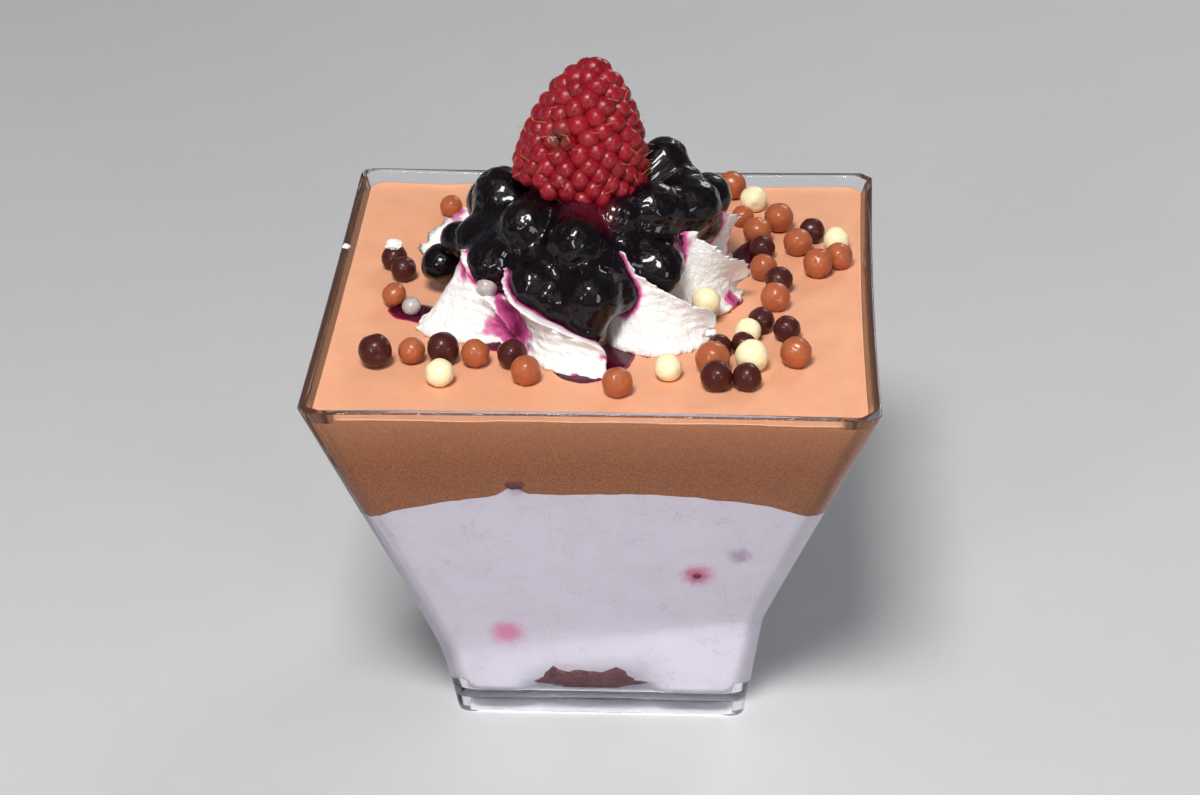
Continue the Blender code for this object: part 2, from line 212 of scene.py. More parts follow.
SYRUP_POOL = (-1.2, -8.2, 71.8)

# Raspberry, tip up
RASPBERRY = (-3.0, 0.7, 72.7)
RASPBERRY_RADIUS = 9.0
RASPBERRY_HEIGHT = 17.6
RASPBERRY_LEAN = math.radians(7.5)
DRUPELET_ROOM = (4.6, 6.4)
GOLDEN_ANGLE = math.pi * (3 - math.sqrt(5))
BRUISE = (-5.4, -5.8, 81.4)

# Chocolate pearls, as in the part: place, radius and kind
PEARL_SINK = 0.3
PEARLS = (
    (-29.0, -20.5, 2.3, "dark"),
    (-24.3, -19.4, 1.8, "milk"),
    (-20.1, -19.5, 2.2, "dark"),
    (-20.0, -25.7, 1.9, "white"),
    (-15.8, -20.1, 1.9, "milk"),
    (-10.9, -20.3, 2.0, "dark"),
    (-8.8, -24.9, 2.0, "milk"),
    (3.3, -27.8, 2.0, "milk"),
    (9.7, -23.2, 1.8, "white"),
    (16.1, -25.9, 2.1, "dark"),
    (20.1, -25.7, 1.9, "dark"),
    (15.5, -21.3, 2.3, "milk"),
    (20.6, -20.4, 2.2, "white"),
    (26.4, -18.9, 2.1, "milk"),
    (25.2, -11.8, 1.8, "dark"),
    (21.7, -9.5, 1.8, "dark"),
    (20.0, -12.6, 1.8, "white"),
    (19.4, -15.7, 1.6, "dark"),
    (16.3, -16.6, 1.6, "dark"),
    (23.6, -2.8, 2.0, "milk"),
    (24.0, 2.4, 1.9, "dark"),
    (21.9, 6.3, 1.9, "milk"),
    (21.6, 12.4, 1.8, "dark"),
    (29.4, 7.5, 2.1, "milk"),
    (32.3, 10.2, 1.9, "milk"),
    (32.0, 15.5, 1.8, "white"),
    (26.6, 14.1, 2.0, "milk"),
    (28.6, 18.4, 1.8, "dark"),
    (23.9, 21.8, 2.1, "milk"),
    (20.9, 17.6, 2.0, "milk"),
    (18.7, 23.1, 1.6, "milk"),
    (20.2, 28.3, 1.9, "white"),
    (17.0, 32.6, 2.1, "milk"),
    (-29.6, 8.3, 1.8, "dark"),
    (-27.9, 4.7, 1.8, "dark"),
    (-28.4, -3.0, 1.7, "milk"),
    (-25.8, -5.6, 1.3, "dipped"),
    (-23.2, 25.5, 1.6, "milk"),
)
CREAM_PEARL = (14.3, -7.6, 58.6, 1.9)
DIPPED_PEARL = (-14.9, -10.9, 62.0, 1.5)

# Sauce on the mousse: place, half length, half width and turn in degrees
PUDDLES = (
    (-25.2, -5.6, 4.4, 2.8, -25),
    (-1.6, -21.0, 4.6, 3.5, 0),
    (2.2, -17.6, 3.0, 4.2, 10),
    (-12.6, -12.6, 4.6, 3.4, -15),
    (20.2, 14.2, 2.2, 4.6, -20),
    (17.3, -0.6, 2.0, 1.6, 0),
)

# Crumbs of cream: place and size
CRUMBS = (
    (-29.5, 8.5, 58.7, 1.1),
    (15.1, -15.2, 57.8, 0.75),
    (-36.7, 11.1, 57.0, 0.55),
)

# Camera, solved from the corners of the cup
CAMERA_PLACE = (0.02404, -0.40871, 0.26306)
CAMERA_YAW = math.radians(-3.456)
CAMERA_PITCH = math.radians(28.633)
CAMERA_ROLL = math.radians(-0.864)
CAMERA_LENS = 100.4


def mix(first, second, share):
    return first + (second - first) * share


def rough(point, scale, octaves=3):
    """Fractal noise about zero at a place, for features of 1 / scale millimetres."""
    return noise.fractal(Vector(point) * scale, 1.0, 2.0, octaves)


def make_camera():
    """A long lens above the front, as the photograph was taken."""
    lens = bpy.data.cameras.new("camera")
    lens.lens = CAMERA_LENS
    lens.sensor_width = 36
    camera = bpy.data.objects.new("camera", lens)
    turn = Matrix.Rotation(-CAMERA_YAW, 4, "Z") @ Matrix.Rotation(math.pi / 2 - CAMERA_PITCH, 4, "X")
    camera.matrix_world = Matrix.Translation(CAMERA_PLACE) @ turn @ Matrix.Rotation(CAMERA_ROLL, 4, "Z")
    bpy.context.scene.collection.objects.link(camera)
    bpy.context.scene.camera = camera


def softbox(name, place, target, size, power, color):
    """A square area light aimed at a point."""
    light = bpy.data.lights.new(name, "AREA")
    light.size = size
    light.energy = power
    light.color = color
    lamp = bpy.data.objects.new(name, light)
    aim = (Vector(target) - Vector(place)).to_track_quat("-Z", "Y")
    lamp.matrix_world = Matrix.Translation(place) @ aim.to_matrix().to_4x4()
    bpy.context.scene.collection.objects.link(lamp)


def make_studio():
    """A soft key light above the front, small front lights for the gloss and an even pale surround."""
    softbox("key", (-0.07, -0.42, 0.70), (0, 0, 0.06), 0.21, 6.2, (1.0, 0.98, 0.95))
    softbox("front_left", (-0.26, -0.50, 0.30), (0, 0, 0.05), 0.10, 0.5, (0.96, 0.98, 1.0))
    softbox("front_right", (0.26, -0.46, 0.20), (0, 0, 0.04), 0.14, 0.45, (0.96, 0.98, 1.0))
    softbox("back", (0.25, 0.55, 0.40), (0, 0, 0.06), 0.20, 0.9, (1.0, 1.0, 1.0))
    world = bpy.data.worlds.new("surround")
    world.use_nodes = True
    world.node_tree.nodes["Background"].inputs["Color"].default_value = (0.86, 0.90, 1.0, 1)
    world.node_tree.nodes["Background"].inputs["Strength"].default_value = 0.14
    bpy.context.scene.world = world
    bpy.context.scene.view_settings.view_transform = "Standard"


def add(tree, kind, inputs=None, **settings):
    """Adds a node, with settings by name and inputs by value or by the socket that feeds them."""
    node = tree.nodes.new(kind)
    for name, value in settings.items():
        setattr(node, name, value)
    for socket, value in (inputs or {}).items():
        if isinstance(value, bpy.types.NodeSocket):
            tree.links.new(value, node.inputs[socket])
        else:
            node.inputs[socket].default_value = value
    return node


def blend_colors(tree, share, first, second):
    """A mix of two colours. Sockets 6 and 7 of the node are its colours and output 2 is its result."""
    values = {0: share, 6: first, 7: second}
    return add(tree, "ShaderNodeMix", values, data_type="RGBA").outputs[2]


def math_node(tree, operation, *values):
    inputs = dict(enumerate(values))
    return add(tree, "ShaderNodeMath", inputs, operation=operation, use_clamp=False).outputs[0]


def ramp(tree, value, low, high, start=0.0, end=1.0):
    """A smooth step of a value."""
    inputs = {"Value": value, "From Min": low, "From Max": high, "To Min": start, "To Max": end}
    return add(tree, "ShaderNodeMapRange", inputs, interpolation_type="SMOOTHSTEP").outputs[0]


def new_group(name, inputs, outputs):
    """A node group with named sockets; each is a name and a socket type."""
    group = bpy.data.node_groups.new(name, "ShaderNodeTree")
    for socket, kind in inputs:
        group.interface.new_socket(socket, in_out="INPUT", socket_type=kind)
    for socket, kind in outputs:
        group.interface.new_socket(socket, in_out="OUTPUT", socket_type=kind)
    return group, group.nodes.new("NodeGroupInput"), group.nodes.new("NodeGroupOutput")


def grain_group():
    """Mottled colour and fine relief, for foods whipped with air."""
    inputs = (
        ("Base", "NodeSocketColor"),
        ("Accent", "NodeSocketColor"),
        ("Patch Scale", "NodeSocketFloat"),
        ("Grain Scale", "NodeSocketFloat"),
        ("Patch Amount", "NodeSocketFloat"),
    )
    outputs = (("Color", "NodeSocketColor"), ("Height", "NodeSocketFloat"), ("Mask", "NodeSocketFloat"))
    group, given, result = new_group("food_grain", inputs, outputs)
    place = add(group, "ShaderNodeTexCoord").outputs["Object"]
    patch = add(
        group,
        "ShaderNodeTexNoise",
        {"Vector": place, "Scale": given.outputs["Patch Scale"], "Detail": 4.0, "Roughness": 0.6},
    )
    grain = add(
        group,
        "ShaderNodeTexNoise",
        {"Vector": place, "Scale": given.outputs["Grain Scale"], "Detail": 3.0, "Roughness": 0.7},
    )
    speck = ramp(group, grain.outputs["Fac"], 0.35, 0.7)
    patches = ramp(group, patch.outputs["Fac"], 0.35, 0.65)
    wide = math_node(group, "MULTIPLY", patches, 0.65)
    fine = math_node(group, "MULTIPLY", speck, 0.35)
    both = math_node(group, "ADD", wide, fine)
    share = math_node(group, "MULTIPLY", both, given.outputs["Patch Amount"])
    color = blend_colors(group, share, given.outputs["Base"], given.outputs["Accent"])
    swell = math_node(group, "MULTIPLY", patch.outputs["Fac"], 0.5)
    height = math_node(group, "ADD", swell, grain.outputs["Fac"])
    group.links.new(color, result.inputs["Color"])
    group.links.new(height, result.inputs["Height"])
    group.links.new(patches, result.inputs["Mask"])
    return group


def spot_group():
    """A soft-edged, uneven spot round a place."""
    inputs = (
        ("Place", "NodeSocketVector"),
        ("Radius", "NodeSocketFloat"),
        ("Unevenness", "NodeSocketFloat"),
    )
    group, given, result = new_group("soft_spot", inputs, (("Mask", "NodeSocketFloat"),))
    place = add(group, "ShaderNodeTexCoord").outputs["Object"]
    wobble = add(group, "ShaderNodeTexNoise", {"Vector": place, "Scale": 900.0, "Detail": 3.0})
    away = add(
        group,
        "ShaderNodeVectorMath",
        {0: place, 1: given.outputs["Place"]},
        operation="DISTANCE",
    ).outputs["Value"]
    centred = math_node(group, "SUBTRACT", wobble.outputs["Fac"], 0.5)
    shift = math_node(group, "MULTIPLY", centred, given.outputs["Unevenness"])
    uneven = math_node(group, "ADD", away, shift)
    inner = math_node(group, "MULTIPLY", given.outputs["Radius"], 0.25)
    mask = ramp(group, uneven, inner, given.outputs["Radius"], 1.0, 0.0)
    group.links.new(mask, result.inputs["Mask"])
    return group


GROUPS = {}


def grain(tree, base, accent, patch_mm, grain_mm, amount):
    """Places the grain group, with sizes in millimetres."""
    values = {
        "Base": (*base, 1),
        "Accent": (*accent, 1),
        "Patch Scale": 1 / (patch_mm * MM),
        "Grain Scale": 1 / (grain_mm * MM),
        "Patch Amount": amount,
    }
    return add(tree, "ShaderNodeGroup", values, node_tree=GROUPS["grain"])


def spot(tree, place, radius, unevenness=1.5):
    """Places the spot group at a place in millimetres."""
    values = {
        "Place": [value * MM for value in place],
        "Radius": radius * MM,
        "Unevenness": unevenness * MM,
    }
    return add(tree, "ShaderNodeGroup", values, node_tree=GROUPS["spot"]).outputs["Mask"]


def new_material(name, **values):
    """A Principled material; each value is set on the shader's own socket."""
    made = bpy.data.materials.new(name)
    made.use_nodes = True
    shader = made.node_tree.nodes["Principled BSDF"]
    for socket, value in values.items():
        shader.inputs[socket.replace("_", " ")].default_value = value
    return made, made.node_tree, shader


def set_bump(tree, shader, height, depth_mm, strength=1.0):
    """Relief of a depth in millimetres."""
    bump = add(
        tree,
        "ShaderNodeBump",
        {"Height": height, "Distance": depth_mm * MM, "Strength": strength},
    )
    tree.links.new(bump.outputs["Normal"], shader.inputs["Normal"])


def clear_plastic():
    """Moulded clear plastic with faint smears; light passes through it to the food."""
    made, tree, shader = new_material("clear_plastic", Transmission_Weight=1.0, IOR=1.46)
    shader.inputs["Specular Tint"].default_value = (0.35, 0.35, 0.36, 1)
    place = add(tree, "ShaderNodeTexCoord").outputs["Object"]
    values = {"Vector": place, "Scale": 160.0, "Detail": 5.0, "Distortion": 1.5}
    smear = add(tree, "ShaderNodeTexNoise", values)
    tree.links.new(ramp(tree, smear.outputs["Fac"], 0.4, 0.75, 0.015, 0.07), shader.inputs["Roughness"])
    tint = blend_colors(tree, smear.outputs["Fac"], (0.97, 0.985, 1.0, 1), (0.93, 0.96, 0.99, 1))
    tree.links.new(tint, shader.inputs["Base Color"])
    ripple = add(tree, "ShaderNodeTexNoise", {"Vector": place, "Scale": 60.0, "Detail": 1.0})
    set_bump(tree, shader, ripple.outputs["Fac"], 0.08, 0.5)
    shadow = add(tree, "ShaderNodeLightPath").outputs["Is Shadow Ray"]
    clear = add(tree, "ShaderNodeBsdfTransparent", {"Color": (0.93, 0.94, 0.95, 1)})
    both = add(tree, "ShaderNodeMixShader", {0: shadow, 1: shader.outputs[0], 2: clear.outputs[0]})
    tree.links.new(both.outputs[0], tree.nodes["Material Output"].inputs["Surface"])
    return made


def chocolate_mousse_material():
    """Pale milk chocolate mousse: a peachy lit copy on its open top and a browner copy with painted shade on
    its side against the wall, painted lighter towards the top of the side.
    """
    made, tree, shader = new_material("chocolate_mousse", Roughness=0.62, Subsurface_Weight=0.08)
    shader.inputs["Subsurface Radius"].default_value = (0.9, 0.45, 0.25)
    shader.inputs["Subsurface Scale"].default_value = 0.001
    top = grain(tree, (0.80, 0.385, 0.225), (0.74, 0.335, 0.185), 4.0, 0.35, 0.7)
    # The side colour is a shaded copy of the top's colour: painted shade where the light from above falls
    # off.
    side = grain(tree, (0.345, 0.113, 0.032), (0.165, 0.048, 0.012), 0.32, 0.13, 1.0)
    normal = add(tree, "ShaderNodeNewGeometry").outputs["True Normal"]
    facing = add(tree, "ShaderNodeSeparateXYZ", {0: normal})
    upward = ramp(tree, facing.outputs["Z"], 0.25, 0.75)
    place = add(tree, "ShaderNodeSeparateXYZ", {0: add(tree, "ShaderNodeTexCoord").outputs["Object"]})
    # Painted light: the shaded side is painted lighter towards its top.
    lit = ramp(tree, place.outputs["Z"], 0.046, 0.0555, 0.0, 0.16)
    side_painted_shade = blend_colors(tree, lit, side.outputs["Color"], (0.80, 0.40, 0.22, 1))
    # Faces turned up take the lit top colour, the rest take the painted shade of the side.
    color = blend_colors(tree, upward, side_painted_shade, top.outputs["Color"])
    tree.links.new(color, shader.inputs["Base Color"])
    set_bump(tree, shader, top.outputs["Height"], 0.06, 0.8)
    return made


def fruit_mousse_material():
    """Pale lilac fruit mousse with faint streaks, a few pink stains and painted shade on the overhanging
    wall above the crease.
    """
    made, tree, shader = new_material("fruit_mousse", Roughness=0.5, Subsurface_Weight=0.1)
    shader.inputs["Subsurface Radius"].default_value = (0.9, 0.6, 0.8)
    shader.inputs["Subsurface Scale"].default_value = 0.001
    body = grain(tree, (0.66, 0.62, 0.69), (0.61, 0.55, 0.63), 5.0, 0.5, 0.6)
    place = add(tree, "ShaderNodeTexCoord").outputs["Object"]
    values = {"Vector": place, "Rotation": (0.2, 0.5, 0.3), "Scale": (1.0, 1.0, 1.5)}
    long_way = add(tree, "ShaderNodeMapping", values)
    streak = add(
        tree,
        "ShaderNodeTexNoise",
        {
            "Vector": long_way.outputs["Vector"],
            "Scale": 130.0,
            "Detail": 6.0,
            "Roughness": 0.65,
            "Distortion": 0.8,
        },
    )
    thin = math_node(tree, "ABSOLUTE", math_node(tree, "SUBTRACT", streak.outputs["Fac"], 0.5))
    streaks = math_node(tree, "MULTIPLY", ramp(tree, thin, 0.0, 0.011, 0.5, 0.0), body.outputs["Mask"])
    color = blend_colors(tree, streaks, body.outputs["Color"], (0.44, 0.28, 0.36, 1))
    normal = add(tree, "ShaderNodeNewGeometry").outputs["True Normal"]
    facing = add(tree, "ShaderNodeSeparateXYZ", {0: normal})
    # Painted shade: where the surface faces down, on the overhanging wall above the crease, it is darkened a
    # little towards black.
    overhang_painted_shade = ramp(tree, facing.outputs["Z"], -0.18, -0.31, 0.0, 0.08)
    color = blend_colors(tree, overhang_painted_shade, color, (0.0, 0.0, 0.0, 1))
    stains = (
        ((-12.6, -21.3, 15.2), 3.4, (0.62, 0.22, 0.36, 1)),
        ((13.6, -25.7, 26.6), 3.0, (0.52, 0.13, 0.24, 1)),
        ((19.4, -27.1, 30.5), 2.2, (0.38, 0.28, 0.37, 1)),
        ((-22.0, -25.5, 26.0), 1.4, (0.62, 0.50, 0.58, 1)),
    )
    for where, radius, stain in stains:
        color = blend_colors(tree, spot(tree, where, radius), color, stain)
    tree.links.new(color, shader.inputs["Base Color"])
    set_bump(tree, shader, body.outputs["Height"], 0.04, 0.6)
    return made


def soaked_sponge_material():
    """Crumb soaked dark red."""
    made, tree, shader = new_material("soaked_sponge", Roughness=0.35)
    crumb = grain(tree, (0.060, 0.010, 0.018), (0.17, 0.052, 0.062), 1.6, 0.45, 0.8)
    tree.links.new(crumb.outputs["Color"], shader.inputs["Base Color"])
    set_bump(tree, shader, crumb.outputs["Height"], 0.5)
    return made


def whipped_cream_material():
    """Matt white cream, stained pink to purple where the attribute says that sauce has soaked in."""
    made, tree, shader = new_material("whipped_cream", Roughness=0.58, Subsurface_Weight=0.12)
    shader.inputs["Subsurface Radius"].default_value = (0.8, 0.7, 0.6)
    shader.inputs["Subsurface Scale"].default_value = 0.0008
    body = grain(tree, (0.94, 0.93, 0.92), (0.87, 0.84, 0.81), 1.1, 0.4, 0.7)
    stain = add(tree, "ShaderNodeAttribute", attribute_name="stain").outputs["Fac"]
    pink = blend_colors(tree, ramp(tree, stain, 0.05, 0.55), body.outputs["Color"], (0.60, 0.08, 0.29, 1))
    color = blend_colors(tree, ramp(tree, stain, 0.5, 1.0), pink, (0.17, 0.004, 0.055, 1))
    tree.links.new(color, shader.inputs["Base Color"])
    set_bump(tree, shader, body.outputs["Height"], 0.24)
    return made


def compote_material():
    """Nearly black berries in wet jelly, dark red where the syrup is thin."""
    made, tree, shader = new_material("berry_compote", Roughness=0.24, Coat_Weight=0.85, Coat_Roughness=0.04)
    shader.inputs["Specular IOR Level"].default_value = 0.10
    shader.inputs["Coat IOR"].default_value = 1.37
    body = grain(tree, (0.0012, 0.0008, 0.0014), (0.006, 0.0012, 0.0035), 2.6, 0.5, 0.8)
    pool = spot(tree, SYRUP_POOL, 5.0)
    color = blend_colors(tree, pool, body.outputs["Color"], (0.075, 0.003, 0.010, 1))
    tree.links.new(color, shader.inputs["Base Color"])
    set_bump(tree, shader, body.outputs["Height"], 0.14)
    return made


def sauce_material():
    """Glossy sauce, magenta at its thin edge."""
    made, tree, shader = new_material("berry_sauce", Roughness=0.25, Coat_Weight=0.7, Coat_Roughness=0.05)
    shader.inputs["Specular IOR Level"].default_value = 0.1
    shader.inputs["Coat IOR"].default_value = 1.37
    depth = add(tree, "ShaderNodeAttribute", attribute_name="depth").outputs["Fac"]
    body = grain(tree, (0.035, 0.001, 0.008), (0.09, 0.002, 0.022), 1.8, 0.4, 0.8)
    color = blend_colors(tree, ramp(tree, depth, 0.0, 0.55), (0.42, 0.015, 0.11, 1), body.outputs["Color"])
    tree.links.new(color, shader.inputs["Base Color"])
    set_bump(tree, shader, body.outputs["Height"], 0.05)
    return made


def raspberry_material():
    """Crimson drupelets with a dusty bloom, each a little different, and a brown bruise."""
    made, tree, shader = new_material("raspberry", Subsurface_Weight=0.45, Specular_IOR_Level=0.34)
    shader.inputs["Subsurface Radius"].default_value = (1.0, 0.12, 0.10)
    shader.inputs["Subsurface Scale"].default_value = 0.0012
    body = grain(tree, (0.25, 0.005, 0.013), (0.15, 0.003, 0.009), 1.2, 0.12, 0.8)
    tone = add(tree, "ShaderNodeAttribute", attribute_name="tone").outputs["Fac"]
    color = blend_colors(tree, tone, body.outputs["Color"], (0.38, 0.012, 0.020, 1))
    place = add(tree, "ShaderNodeTexCoord").outputs["Object"]
    values = {"Vector": place, "Scale": 520.0, "Detail": 6.0, "Roughness": 0.75}
    dust = add(tree, "ShaderNodeTexNoise", values)
    bloom = ramp(tree, dust.outputs["Fac"], 0.42, 0.72, 0.0, 0.14)
    color = blend_colors(tree, bloom, color, (0.40, 0.07, 0.11, 1))
    color = blend_colors(tree, spot(tree, BRUISE, 2.2), color, (0.14, 0.030, 0.018, 1))
    tree.links.new(color, shader.inputs["Base Color"])
    tree.links.new(ramp(tree, dust.outputs["Fac"], 0.3, 0.7, 0.16, 0.34), shader.inputs["Roughness"])
    set_bump(tree, shader, body.outputs["Height"], 0.03, 0.7)
    return made


def hair_material():
    """Fine golden hairs."""
    made, tree, shader = new_material("raspberry_hair", Roughness=0.4)
    body = grain(tree, (0.62, 0.36, 0.13), (0.45, 0.20, 0.07), 1.0, 0.3, 1.0)
    tree.links.new(body.outputs["Color"], shader.inputs["Base Color"])
    return made


def pearl_material(name, base, accent, gloss):
    """A glazed chocolate pearl, slightly mottled."""
    made, tree, shader = new_material(name, Roughness=0.4, Coat_Weight=gloss, Coat_Roughness=0.16)
    shader.inputs["Specular IOR Level"].default_value = 0.15
    body = grain(tree, base, accent, 1.3, 0.25, 0.7)
    tree.links.new(body.outputs["Color"], shader.inputs["Base Color"])
    set_bump(tree, shader, body.outputs["Height"], 0.05, 0.8)
    return made


def floor_material():
    """A pale, faintly mottled studio floor."""
    made, tree, shader = new_material("studio_floor", Roughness=0.6)
    body = grain(tree, (0.58, 0.58, 0.59), (0.55, 0.55, 0.56), 60.0, 6.0, 0.5)
    tree.links.new(body.outputs["Color"], shader.inputs["Base Color"])
    return made


def finish_piece(name, bm, surface, replaced=()):
    """Makes a piece of a mesh in millimetres, hangs it on the frame and gives it its material."""
    bmesh.ops.scale(bm, vec=(MM, MM, MM), verts=bm.verts)
    for face in bm.faces:
        face.smooth = True
    mesh = bpy.data.meshes.new(name)
    bm.to_mesh(mesh)
    bm.free()
    mesh.materials.append(surface)
    piece = bpy.data.objects.new(name, mesh)
    bpy.context.scene.collection.objects.link(piece)
    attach(piece, "root")
    if replaced:
        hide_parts(*replaced)
    return piece


def ring(bm, points):
    """A closed ring of edges through the points."""
    verts = bmesh.ops.create_circle(bm, cap_ends=False, segments=len(points), radius=1)["verts"]
    for vert, point in zip(verts, points):
        vert.co = point
    return list({edge for vert in verts for edge in vert.link_edges})


def loft(rings):
    """A body that bridges each ring to the next, closed at both ends."""
    body = bmesh.new()
    loops = [ring(body, points) for points in rings]
    for first, second in zip(loops, loops[1:]):
        bmesh.ops.bridge_loops(body, edges=first + second)
    bmesh.ops.edgeloop_fill(body, edges=loops[0])
    bmesh.ops.edgeloop_fill(body, edges=loops[-1])
    bmesh.ops.recalc_face_normals(body, faces=body.faces)
    return body


def join(bm, body):
    """Adds a finished body to a piece."""
    mesh = bpy.data.meshes.new("body")
    body.to_mesh(mesh)
    body.free()
    bm.from_mesh(mesh)
    bpy.data.meshes.remove(mesh)


def half_width(z, across):
    """Half the cup's outer width at a height, where across is 0 at the left side and 1 at the right."""
    knee = mix(LOW_KNEE["height"], HIGH_KNEE["height"], across)
    half = mix(LOW_KNEE["half"], HIGH_KNEE["half"], across)
    softness = mix(LOW_KNEE["softness"], HIGH_KNEE["softness"], across)
    foot_slope = (half - BASE_HALF) / knee
    wall_slope = (RIM_HALF - half) / (HEIGHT - knee)
    above = z - knee
    flare = (above + math.hypot(above, softness)) / 2
    return half + foot_slope * above + (wall_slope - foot_slope) * flare


def wall_point(corner, normal, z, inset, radius=CORNER):
    """The wall's point at a height, for a place round a square of half width 1 and its normal."""
    across = (corner.x + 1) / 2
    knee = mix(LOW_KNEE["height"], HIGH_KNEE["height"], across)
    rise = min(max((z - knee) / (HEIGHT - knee), 0), 1)
    along = corner.dot(Vector((-normal.y, normal.x)))
    bow = (LEFT_BOW if normal.x < -0.5 else BOW) * rise * max(1 - along * along, 0)
    flat = corner * (half_width(z, across) - inset - radius) + normal * (radius - bow)
    return Vector((flat.x, flat.y, z))


def round_the_cup(side_steps):
    """Places round a square of half width 1, with their outward normals."""
    places = []
    for quarter in range(4):
        turn = Matrix.Rotation(quarter * math.pi / 2, 2)
        for step in range(CORNER_STEPS + 1):
            angle = step / CORNER_STEPS * math.pi / 2
            places.append((turn @ Vector((1, 1)), turn @ Vector((math.cos(angle), math.sin(angle)))))
        for step in range(1, side_steps):
            along = 1 - 2 * step / side_steps
            places.append((turn @ Vector((along, 1)), turn @ Vector((0, 1))))
    return places


CUP_PLACES = round_the_cup(24)
FOOD_PLACES = round_the_cup(56)


def wall_ring(places, below, above, offset, inset, radius=CORNER):
    """A ring of the wall, at shares of the heights below and above the crease, plus an offset."""
    points = []
    for corner, normal in places:
        knee = mix(LOW_KNEE["height"], HIGH_KNEE["height"], (corner.x + 1) / 2)
        z = below * knee + above * (HEIGHT - knee) + offset
        points.append(wall_point(corner, normal, z, inset, radius))
    return points


def make_cup():
    """The cup: foot with a recess under it, walls with their sloping crease, and a rounded rim."""
    wall_levels = [(0.35, 0), (0.6, 0), (0.75, 0), (0.85, 0), (0.92, 0), (0.97, 0), (1, 0), (1, 0.012)]
    wall_levels += [(1, 0.03), (1, 0.06), (1, 0.1), (1, 0.16), (1, 0.3), (1, 0.5), (1, 0.75), (1, 1)]
    outside = [wall_ring(CUP_PLACES, below, above, 0, 0) for below, above in wall_levels]
    inside = [wall_ring(CUP_PLACES, below, above, 0, WALL) for below, above in reversed(wall_levels[1:])]
    rings = [
        wall_ring(CUP_PLACES, 0, 0, RECESS, WALL),
        wall_ring(CUP_PLACES, 0, 0, 0, WALL),
        wall_ring(CUP_PLACES, 0, 0, 0, 0),
        *outside,
        *inside,
        wall_ring(CUP_PLACES, 0, 0, FLOOR, WALL),
    ]
    bm = loft(rings)
    sharp = [edge for edge in bm.edges if edge.calc_face_angle(0) > math.radians(50)]
    bmesh.ops.bevel(
        bm, geom=sharp, offset=EDGE, segments=3, profile=0.5, affect="EDGES", material=-1
    )
    return finish_piece("clear_cup", bm, clear_plastic(), ["cup"])


def interface(x, y):
    """Height of the line between the two mousses, with a small peak at the front."""
    corner = abs(x * y) / INTERFACE_HALF**2
    wave = 0.012 * x + rough((x, y, 3.0), 0.16) * 0.25 + rough((x, y, 7.0), 0.7) * 0.12
    peak = PEAK["height"] * math.exp(-(((x - PEAK["x"]) / PEAK["width"]) ** 2)) if y < -20 else 0
    return INTERFACE - INTERFACE_DROP * min(corner, 1.1) ** 3 + wave + peak


def interface_rings():
    """The interface from the wall towards the middle."""
    edge = []
    for corner, normal in FOOD_PLACES:
        point = wall_point(corner, normal, INTERFACE, INSET)
        for _ in range(3):
            point = wall_point(corner, normal, interface(point.x, point.y), INSET)
        edge.append(point)
    rings = [edge]
    for share in (0.97, 0.9, 0.75, 0.5, 0.22):
        rings.append([Vector((p.x * share, p.y * share, interface(p.x * share, p.y * share))) for p in edge])
    return rings


def under_sponge(points, inset):
    """Draws the bottom of the mousse in behind the sponge, in the middle of each side."""
    drawn = []
    for point in points:
        near = min(abs(point.x - SPONGE_X), abs(point.y))
        pull = inset * min(max((10.5 - near) / 4.0, 0), 1) ** 1.5
        drawn.append(Vector((point.x * (1 - pull / 20), point.y * (1 - pull / 20), point.z)))
    return drawn


def between(first, second, shares):
    """Rings at shares of the way from one ring to another."""
    return [[a.lerp(b, share) for a, b in zip(first, second)] for share in shares]


def make_fruit_mousse():
    rings = [
        under_sponge(wall_ring(FOOD_PLACES, 0, 0, FLOOR - REACH, INSET, CORNER_AIR), 3.0),
        under_sponge(wall_ring(FOOD_PLACES, 0, 0, FLOOR + 0.9, INSET, CORNER_AIR * 0.8), 3.0),
        under_sponge(wall_ring(FOOD_PLACES, 0, 0, FLOOR + 1.3, INSET, CORNER_AIR * 0.7), 1.0),
        wall_ring(FOOD_PLACES, 0, 0, FLOOR + AIR_HEIGHT, INSET),
    ]
    levels = [(0.75, 0), (0.85, 0), (0.92, 0), (0.97, 0), (1, 0), (1, 0.012), (1, 0.03), (1, 0.06)]
    levels += [(1, 0.1), (1, 0.16), (1, 0.25), (1, 0.35), (1, 0.42)]
    rings += [wall_ring(FOOD_PLACES, below, above, 0, INSET) for below, above in levels]
    line = interface_rings()
    bm = loft(rings + between(rings[-1], line[0], (0.3, 0.6, 0.85, 0.97, 0.995)) + line)
    return finish_piece("fruit_layer", bm, fruit_mousse_material(), ["fruit_mousse"])


def top_height(x, y, inward):
    """Height of the mousse's open top; it creeps up a little at the wall."""
    creep = 0.35 * math.exp(-inward / 0.7)
    return TOP - 0.1 + creep + rough((x, y, 0), 0.09) * 0.22 + rough((x, y, 9), 0.9) * 0.03


